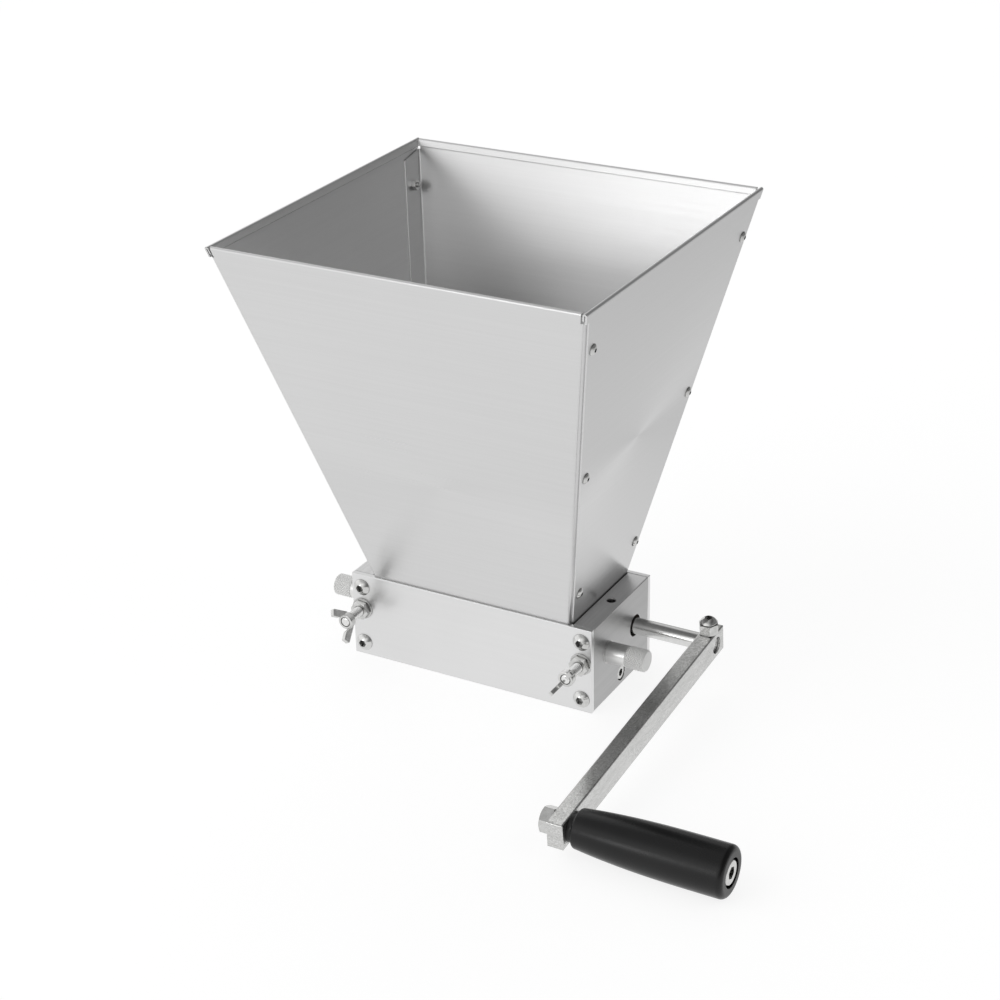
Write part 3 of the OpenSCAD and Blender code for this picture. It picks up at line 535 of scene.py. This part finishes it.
# A tube along X whose wall is raised into small pyramids between crossed grooves, with open ends
def knurledTube(name, tube):
    half = tube["length"] / 2
    step = tube["length"] / tube["rows"]
    bpy.ops.object.select_all(action="DESELECT")
    bpy.ops.mesh.primitive_circle_add(
        vertices=tube["around"], radius=tube["rootRadius"], location=(-half, 0, 0),
        rotation=(0, math.pi / 2, 0),
    )
    piece = bpy.context.object
    piece.name = name
    bpy.ops.object.transform_apply(location=True, rotation=True)
    edit("EDGE")
    bpy.ops.mesh.select_all(action="SELECT")
    for row in range(tube["rows"]):
        bpy.ops.mesh.extrude_region_move(TRANSFORM_OT_translate={"value": (step, 0, 0)})
    bpy.ops.mesh.select_all(action="SELECT")
    bpy.ops.mesh.normals_make_consistent(inside=False)
    bpy.ops.mesh.mark_seam()
    bpy.ops.mesh.poke()
    chooseEdges(piece, lambda line, a, b: line.use_seam and abs(a.x + b.x) < 2 * half - step / 2)
    bpy.ops.mesh.dissolve_edges(use_verts=False)
    bpy.ops.mesh.select_all(action="SELECT")
    bpy.ops.mesh.mark_seam(clear=True)
    bpy.ops.mesh.poke(offset=tube["rise"], use_relative_offset=False)
    return piece


samePlace = 1e-6


def chooseEnd(piece, reach):
    chooseEdges(piece, lambda line, a, b: max(abs(a.x - reach), abs(b.x - reach)) < samePlace)


# In edit mode: draws an open end of a tube along X through the given reaches and radii
def drawEnd(piece, start, radius, steps):
    for reach, wide in steps:
        chooseEnd(piece, start)
        bpy.ops.mesh.extrude_region_move(TRANSFORM_OT_translate={"value": (reach - start, 0, 0)})
        bpy.ops.transform.resize(value=(1, wide / radius, wide / radius), center_override=(reach, 0, 0))
        start = reach
        radius = wide


def capEnd(piece, reach):
    chooseEnd(piece, reach)
    bpy.ops.mesh.edge_face_add()


def setMaterial(piece, material):
    piece.data.materials.clear()
    piece.data.materials.append(material)
    for face in piece.data.polygons:
        face.material_index = 0


# Shades a new piece smooth, gives it its body, and hides the CAD node that it stands for
def finishPiece(piece, smoothTo, body, node):
    pick(piece)
    bpy.ops.object.shade_smooth_by_angle(angle=math.radians(smoothTo))
    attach(piece, body)
    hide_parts(node)


# The rollers: a knurled face, plain chamfered ends and a bore that fits the shaft
rollerShape = {
    "around": 64,
    "rows": 78,
    "length": 0.1254,
    "rootRadius": 0.01545,
    "rise": 0.0004,
    "endLand": 0.0008,
    "endDrop": 0.0008,
    "boreGap": 0.00002,
    "boreEdge": 0.00001,
    "smoothTo": 18,
}


def makeRoller(name, node, shaft, body):
    low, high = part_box(node)
    shaftLow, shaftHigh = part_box(shaft)
    bore = (shaftHigh.z - shaftLow.z) / 2 + rollerShape["boreGap"]
    half, root = rollerShape["length"] / 2, rollerShape["rootRadius"]
    end, shoulder = half + rollerShape["endLand"], root - rollerShape["endDrop"]
    roller = knurledTube(name, rollerShape)
    for side in (-1, 1):
        drawEnd(roller, side * half, root, [(side * end, shoulder), (side * end, bore)])
    chooseEdges(roller, lambda line, a, b: max(a.yz.length, b.yz.length) < bore + rollerShape["boreEdge"])
    bpy.ops.mesh.bridge_edge_loops()
    faceOutward()
    roller.data.transform(Matrix.Translation((low + high) / 2))
    setMaterial(roller, rollerSteel)
    finishPiece(roller, rollerShape["smoothTo"], body, node)


makeRoller("drive_roller_knurled", "drive_roller", "drive_shaft", "crank")
makeRoller("idler_roller_knurled", "idler_roller", "idler_shaft", "idler")
print("rollers knurled")


weldReach = 0.000002


# A copy of a CAD node's mesh with its corners merged, to be worked further
def mergedCopy(node, name):
    piece = bpy.data.objects.new(name, nodes[node].data.copy())
    bpy.context.scene.collection.objects.link(piece)
    pick(piece)
    bpy.ops.mesh.customdata_custom_splitnormals_clear()
    edit("VERT")
    bpy.ops.mesh.select_all(action="SELECT")
    bpy.ops.mesh.remove_doubles(threshold=weldReach)
    editDone()
    return piece


# The gap adjusters' knobs: the plain plug and barrel are kept, and the outer end is knurled
knobShape = {
    "around": 24,
    "rows": 7,
    "length": 0.0106,
    "rootRadius": 0.00594,
    "rise": 0.00048,
    "barrelEnd": 0.08845,
    "knurlStart": 0.0889,
    "endChamfer": 0.0005,
    "endRadius": 0.0057,
    "neck": ((0.0004, 0.0059), (0.0007, 0.0055)),
    "smoothTo": 18,
}


def makeKnob(side, name, node, body):
    low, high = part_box(node)
    half, root = knobShape["length"] / 2, knobShape["rootRadius"]
    knurl = knurledTube(name + "_knurl", knobShape)
    face = half + knobShape["endChamfer"]
    drawEnd(knurl, half, root, [(face, knobShape["endRadius"])])
    capEnd(knurl, face)
    neck = [(-half - reach, wide) for reach, wide in knobShape["neck"]]
    drawEnd(knurl, -half, root, neck)
    capEnd(knurl, neck[-1][0])
    faceOutward()
    if side < 0:
        knurl.data.transform(Matrix.Rotation(math.pi, 4, "Z"))
    middle = (low + high) / 2
    knurl.data.transform(Matrix.Translation((side * (knobShape["knurlStart"] + half), middle.y, middle.z)))
    knurl.data.materials.append(litKnurledSteel)
    knob = mergedCopy(node, name)
    edit("VERT")
    bpy.ops.mesh.select_all(action="SELECT")
    bpy.ops.mesh.bisect(
        plane_co=(side * knobShape["barrelEnd"], 0, 0), plane_no=(side, 0, 0),
        use_fill=True, clear_outer=True,
    )
    editDone()
    setMaterial(knob, litBarrelSteel)
    knurl.select_set(True)
    bpy.ops.object.join()
    finishPiece(knob, knobShape["smoothTo"], body, node)


makeKnob(1, "right_gap_adjuster_knurled", "right_gap_adjuster", "right_adjuster")
makeKnob(-1, "left_gap_adjuster_knurled", "left_gap_adjuster", "left_adjuster")
print("adjuster knobs knurled")


# The lock screws' studs: one turn of thread is drawn as a ring that runs round off its centre, then repeated
studShape = {
    "around": 20,
    "turnSteps": 12,
    "pitch": 0.001,
    "coreRadius": 0.00270,
    "offCentre": 0.00027,
    "plainEnd": 0.0006,
    "endRadius": 0.0024,
    "smoothTo": 50,
}


def makeStud(name, node, body):
    low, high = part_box(node)
    length = high.y - low.y
    pitch, steps = studShape["pitch"], studShape["turnSteps"]
    turns = int((length - 2 * studShape["plainEnd"]) / pitch)
    bpy.ops.object.select_all(action="DESELECT")
    bpy.ops.mesh.primitive_circle_add(
        vertices=studShape["around"], radius=studShape["coreRadius"], location=(0, 0, studShape["offCentre"]),
        rotation=(0, math.pi / 2, 0),
    )
    stud = bpy.context.object
    stud.name = name
    bpy.ops.object.transform_apply(location=True, rotation=True)
    edit("EDGE")
    bpy.ops.mesh.select_all(action="SELECT")
    for step in range(steps):
        bpy.ops.mesh.extrude_region_move(TRANSFORM_OT_translate={"value": (pitch / steps, 0, 0)})
        bpy.ops.transform.rotate(value=2 * math.pi / steps, orient_axis="X", center_override=(0, 0, 0))
    editDone()
    repeat = stud.modifiers.new("turns", "ARRAY")
    repeat.use_relative_offset = False
    repeat.use_constant_offset = True
    repeat.constant_offset_displace = (pitch, 0, 0)
    repeat.count = turns
    repeat.use_merge_vertices = True
    repeat.merge_threshold = pitch / 100
    bpy.ops.object.modifier_apply(modifier="turns")
    stud.data.transform(Matrix.Translation((-turns * pitch / 2, 0, 0)))
    edit("EDGE")
    half, end = turns * pitch / 2, length / 2
    middle = (half + end) / 2
    for side in (-1, 1):
        chooseEnd(stud, side * half)
        bpy.ops.mesh.extrude_region_move(TRANSFORM_OT_translate={
            "value": (side * (middle - half), 0, -studShape["offCentre"]),
        })
        drawEnd(stud, side * middle, studShape["coreRadius"], [(side * end, studShape["endRadius"])])
        capEnd(stud, side * end)
    faceOutward()
    stud.data.transform(Matrix.Translation((low + high) / 2) @ Matrix.Rotation(math.pi / 2, 4, "Z"))
    setMaterial(stud, litPlatedSteel)
    finishPiece(stud, studShape["smoothTo"], body, node)


makeStud("right_lock_stud_threaded", "right_lock_stud", "right_lock")
makeStud("left_lock_stud_threaded", "left_lock_stud", "left_lock")
print("lock studs threaded")


# The wing heads are castings: their corners are rounded over and the wings run into the hub
wingCast = {
    "grid": 0.00018,
    "smoothing": 0.5,
    "passes": 4,
    "smoothTo": 60,
}


def castWing(name, node, body):
    wing = mergedCopy(node, name)
    cast = wing.modifiers.new("cast", "REMESH")
    cast.mode = "VOXEL"
    cast.voxel_size = wingCast["grid"]
    bpy.ops.object.modifier_apply(modifier="cast")
    soften = wing.modifiers.new("soften", "SMOOTH")
    soften.factor = wingCast["smoothing"]
    soften.iterations = wingCast["passes"]
    bpy.ops.object.modifier_apply(modifier="soften")
    setMaterial(wing, platedSteel)
    finishPiece(wing, wingCast["smoothTo"], body, node)


castWing("right_lock_wing_cast", "right_lock_wing", "right_lock")
castWing("left_lock_wing_cast", "left_lock_wing", "left_lock")
print("wing heads cast")
